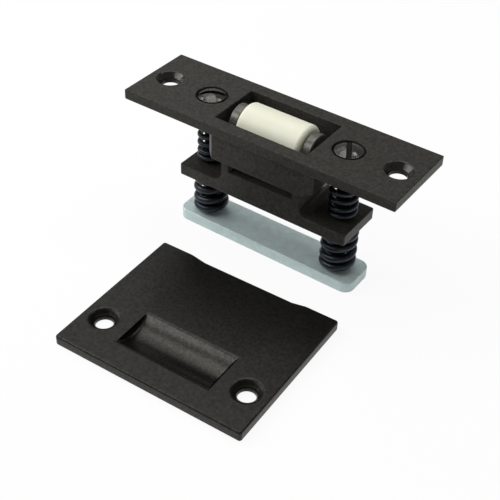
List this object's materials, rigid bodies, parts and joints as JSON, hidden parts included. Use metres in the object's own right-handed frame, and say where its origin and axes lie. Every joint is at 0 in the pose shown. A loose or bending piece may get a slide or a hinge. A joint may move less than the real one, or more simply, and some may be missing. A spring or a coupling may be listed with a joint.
{
  "type": "roller catch",
  "caption": "Adjustable sprung roller catch for a door edge: oblong face plate, nylon roller in a carrier on sprung screws, backing bar, and a loose strike plate with a roller pocket.",
  "frame": {"origin": "centre of the face plate's underside, midway between its mounting holes", "axes": "+X along the face plate, +Z out of the door edge, the strike plate lies on the -Y side"},
  "size_m": [0.0856, 0.0807, 0.0439],
  "materials": {
    "dark_bronze": "cast brass, dark oil-rubbed bronze, satin",
    "screw_bronze": "turned, dark bronze, polished head",
    "spring_steel": "blue-black spring wire, glossy",
    "zinc_plate": "bright zinc plate",
    "axle_steel": "plain ground steel",
    "nylon": "cream nylon, satin"
  },
  "bodies": {
    "frame": {"face_plate": "dark_bronze", "strike_plate": "dark_bronze"},
    "screw_left": {"adjusting_screw_left": "screw_bronze"},
    "screw_right": {"adjusting_screw_right": "screw_bronze"},
    "bar": {"backing_bar": "zinc_plate", "lower_spring_left": "spring_steel", "lower_spring_right": "spring_steel"},
    "carrier": {"roller_carrier": "dark_bronze", "roller_axle": "axle_steel", "upper_spring_left": "spring_steel", "upper_spring_right": "spring_steel"},
    "roller": {"roller": "nylon"}
  },
  "joints": [
    {"name": "left_screw_turn", "type": "hinge", "parent": "frame", "child": "screw_left", "pos_m": [-0.022, 0, 0], "axis": [0, 0, -1], "range_deg": [0, 1440]},
    {"name": "right_screw_turn", "type": "hinge", "parent": "frame", "child": "screw_right", "pos_m": [0.022, 0, 0], "axis": [0, 0, -1], "range_deg": [0, 1440]},
    {"name": "bar_adjust", "type": "slide", "parent": "frame", "child": "bar", "axis": [0, 0, 1], "range_m": [0, 0.00317], "deforming": ["upper_spring_left", "upper_spring_right"]},
    {"name": "roller_press", "type": "slide", "parent": "bar", "child": "carrier", "axis": [0, 0, -1], "range_m": [0, 0.003], "stiffness_N_per_m": 5000, "springref_m": -0.001, "deforming": ["lower_spring_left", "lower_spring_right"]},
    {"name": "roller_spin", "type": "hinge", "parent": "carrier", "child": "roller", "pos_m": [0, 0, -0.0016], "axis": [1, 0, 0], "continuous": true}
  ],
  "couplings": [
    {"joint": "left_screw_turn", "follows": "bar_adjust", "rad_per_m": 7915.8},
    {"joint": "right_screw_turn", "follows": "bar_adjust", "rad_per_m": 7915.8}
  ]
}
